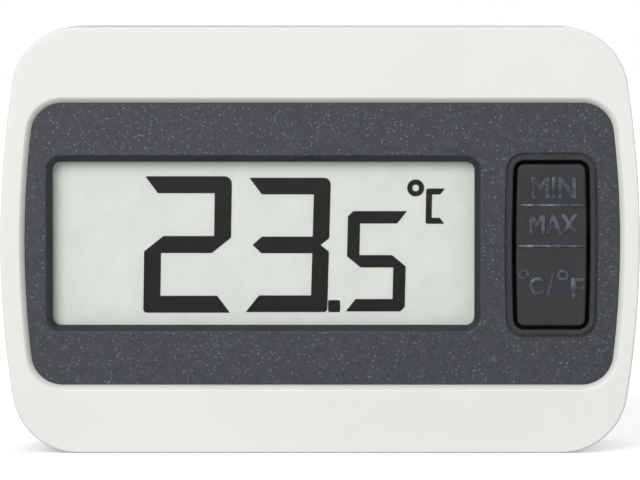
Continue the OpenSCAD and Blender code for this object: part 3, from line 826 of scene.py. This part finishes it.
finish("circuit_board", solder_mask())
board_parts = {
    "chip_blob": ("resin_black", (22, 22, 24), (30, 30, 32), (0.15, 0.3)),
    "smd_resistors": ("chip_black", (34, 34, 36), (46, 46, 48), (0.4, 0.55)),
    "smd_capacitors": ("chip_tan", (170, 140, 100), (156, 126, 88), (0.4, 0.55)),
    "thermistor": ("bead_amber", (196, 132, 48), (176, 112, 36), (0.2, 0.35)),
}
for node, (name, colour, drift, roughness) in board_parts.items():
    finish(node, moulded_plastic(name, linear(*colour), linear(*drift), roughness))


def build_plating():
    """Plated steel with fine uneven polish and a little tarnish."""
    tree, given, out = group_tree(
        "plating",
        {"Colour": (0.6, 0.6, 0.6, 1.0), "Tarnish": (0.4, 0.4, 0.4, 1.0), "Roughness Low": 0.2,
         "Roughness High": 0.4},
        {"Colour": "NodeSocketColor", "Roughness": "NodeSocketFloat", "Height": "NodeSocketFloat"},
    )
    place = object_coordinates(tree)
    tarnish = noise(tree, place, 1 / (1.5 * MM), detail=4.0, roughness=0.6)
    polish = noise(tree, place, 1 / (0.12 * MM), detail=3.0)
    dull = remap(tree, tarnish, 0.35, 0.7, 0.0, 1.0)
    feed(tree, mix_colours(tree, dull, given["Colour"], given["Tarnish"]), out["Colour"])
    gloss = remap(tree, polish, 0.3, 0.7, given["Roughness Low"], given["Roughness High"])
    feed(tree, gloss, out["Roughness"])
    feed(tree, polish, out["Height"])
    return tree


plating = build_plating()


def metal(name, colour, tarnish, roughness):
    material, tree, shader = new_material(name)
    surface = placed_group(
        tree, plating, Colour=colour, Tarnish=tarnish,
        Roughness_Low=roughness[0], Roughness_High=roughness[1],
    )
    feed(tree, surface["Colour"], shader["Base Color"])
    feed(tree, surface["Roughness"], shader["Roughness"])
    shader["Metallic"].default_value = 1.0
    add_bump(tree, shader, surface["Height"], 0.0012)
    return material


zinc = metal("zinc", linear(205, 206, 208), linear(176, 178, 182), (0.24, 0.4))
nickel = metal("nickel", linear(214, 212, 206), linear(190, 188, 184), (0.16, 0.3))
finish("board_screws", zinc)


# ---- Button cell and its contacts ----
# A nickel-plated can and cap with a nylon ring between them, round a pressed pellet. A leaf spring
# meets the cap through the floor of the well, and an upright strip meets the side of the can.

for node in ("contact_negative", "contact_positive", "cell_cap", "cell_can"):
    finish(node, nickel)
finish("cell_seal", moulded_plastic(
    "nylon", linear(214, 214, 204), linear(204, 204, 194), roughness=(0.45, 0.55),
))
finish("cell_core", moulded_plastic(
    "pellet", linear(58, 58, 60), linear(44, 44, 46), roughness=(0.75, 0.9),
))


# ---- Case screws ----
# Four zinc-plated self-tapping screws with cross recesses. They go in from behind, with their
# heads sunk in the rear shell.

SCREW_HEAD_Y = box_mm("case_screws")[1][1]
SCREW_EDGE_R = 0.14
screws = merged_copy("case_screws")
round_edges(screws, at_depth(SCREW_HEAD_Y), SCREW_EDGE_R, segments=2)
add_piece("case_screw_set", screws, zinc, "case", ["case_screws"])


# ---- Battery cover ----
# A round cover with a coin slot, moulded in the same plastic as the shells. A turn of 45
# degrees brings its two lugs under ledges.

COVER_EDGE_R = 0.2
cover = merged_copy("battery_cover")
round_edges(cover, at_depth(BACK_Y), COVER_EDGE_R, segments=3)
add_piece("battery_cover_moulding", cover, case_white, "battery_cover", ["battery_cover"])


# ---- Stand ----
# A flat stand moulded in the shells' plastic. It folds into its pocket in the back and turns on
# two trunnions at its top edge.

STAND_Y = box_mm("stand")[1][1]
STAND_EDGE_R = 0.3
flap = merged_copy("stand")
round_edges(flap, at_depth(STAND_Y), STAND_EDGE_R, segments=3)
add_piece("stand_moulding", flap, case_white, "stand", ["stand"])


# ---- Magnet ----
# A disc of ground ferrite, dark grey and slightly rough. It is glued into its pocket in the rear
# shell, flush with the back.

ferrite = moulded_plastic(
    "ferrite", linear(74, 74, 78), linear(62, 62, 66), roughness=(0.4, 0.6), grain=0.12, depth=0.004,
    drift_size=2,
)
MAGNET_EDGE_R = 0.2
disc = merged_copy("magnet")
round_edges(disc, at_depth(BACK_Y), MAGNET_EDGE_R, segments=2)
add_piece("magnet_disc", disc, ferrite, "case", ["magnet"])


# ---- Studio ----
# A round white table in a white room. Both look white to the camera but throw little light back at the
# case, so one large soft light from the upper left shapes it. A long lens looks from just above.

TABLE_R = 1.6
GLOW_FROM = 0.1
GLOW_FULL = 0.7
FIBRE_SCALE = 900.0


def seen_directly(tree):
    """1 where the camera looks straight at a surface, 0 for the light that it throws."""
    return tree.nodes.new("ShaderNodeLightPath").outputs["Is Camera Ray"]


def table_white():
    """White paper that glows more the further it lies from the case, so that no horizon shows."""
    material, tree, shader = new_material("table_white")
    place = object_coordinates(tree)
    fibre = noise(tree, place, FIBRE_SCALE, detail=3.0)
    paper = mix_colours(tree, fibre, (0.92, 0.92, 0.92, 1.0), (0.94, 0.94, 0.94, 1.0))
    seen = seen_directly(tree)
    away = tree.nodes.new("ShaderNodeVectorMath")
    away.operation = "LENGTH"
    feed(tree, place, away.inputs[0])
    distance = remap(tree, away.outputs["Value"], GLOW_FROM, GLOW_FULL, 0.0, 1.0)
    glow = mix_colours(tree, distance, (0.36, 0.36, 0.36, 1.0), (1.0, 1.0, 1.0, 1.0))
    feed(tree, mix_colours(tree, seen, (0.6, 0.6, 0.6, 1.0), paper), shader["Base Color"])
    feed(tree, mix_colours(tree, seen, (0.0, 0.0, 0.0, 1.0), glow), shader["Emission Color"])
    shader["Emission Strength"].default_value = 1.0
    shader["Specular IOR Level"].default_value = 0.0
    shader["Roughness"].default_value = 0.9
    return material


bm = bmesh.new()
bmesh.ops.create_circle(bm, cap_ends=True, radius=TABLE_R, segments=96)
mesh = bpy.data.meshes.new("table")
bm.to_mesh(mesh)
bm.free()
mesh.materials.append(table_white())
table = bpy.data.objects.new("table", mesh)
bpy.context.scene.collection.objects.link(table)


def soft_light(name, place, size, power):
    """A square soft light that looks at the middle of the case."""
    data = bpy.data.lights.new(name, "AREA")
    data.shape = "SQUARE"
    data.size = size
    data.energy = power
    light = bpy.data.objects.new(name, data)
    bpy.context.scene.collection.objects.link(light)
    light.location = place
    aim = Vector((0, 0, 0.02)) - light.location
    light.rotation_euler = aim.to_track_quat("-Z", "Y").to_euler()


soft_light("key_light", (-0.36, -0.86, 0.41), 0.7, 7.0)
soft_light("right_fill", (0.85, -0.5, 0.12), 0.5, 1.0)
soft_light("top_light", (0.0, -0.05, 1.0), 0.5, 1.0)
soft_light("back_light", (0.4, 0.9, 0.16), 0.6, 5.5)

world = bpy.data.worlds.new("room")
world.use_nodes = True
room = world.node_tree
lit = room.nodes["Background"]
lit.inputs["Color"].default_value = (1.0, 1.0, 1.0, 1.0)
lit.inputs["Strength"].default_value = 0.4
white = room.nodes.new("ShaderNodeBackground")
white.inputs["Color"].default_value = (1.0, 1.0, 1.0, 1.0)
either = room.nodes.new("ShaderNodeMixShader")
feed(room, seen_directly(room), either.inputs["Fac"])
feed(room, lit.outputs["Background"], either.inputs[1])
feed(room, white.outputs["Background"], either.inputs[2])
feed(room, either.outputs["Shader"], room.nodes["World Output"].inputs["Surface"])
bpy.context.scene.world = world
bpy.context.scene.view_settings.view_transform = "Standard"

camera_data = bpy.data.cameras.new("camera")
camera_data.lens = 300
camera_data.sensor_width = 36
FRAME_W = 60.08 * MM
LOOK_AT = Vector((0.0, -6.0 * MM, 20.0 * MM))
RISE = math.radians(2.9)
away = camera_data.lens / camera_data.sensor_width * FRAME_W
camera = bpy.data.objects.new("camera", camera_data)
bpy.context.scene.collection.objects.link(camera)
camera.location = LOOK_AT + Vector((0, -math.cos(RISE), math.sin(RISE))) * away
camera.rotation_euler = (math.pi / 2 - RISE, 0, 0)
bpy.context.scene.camera = camera
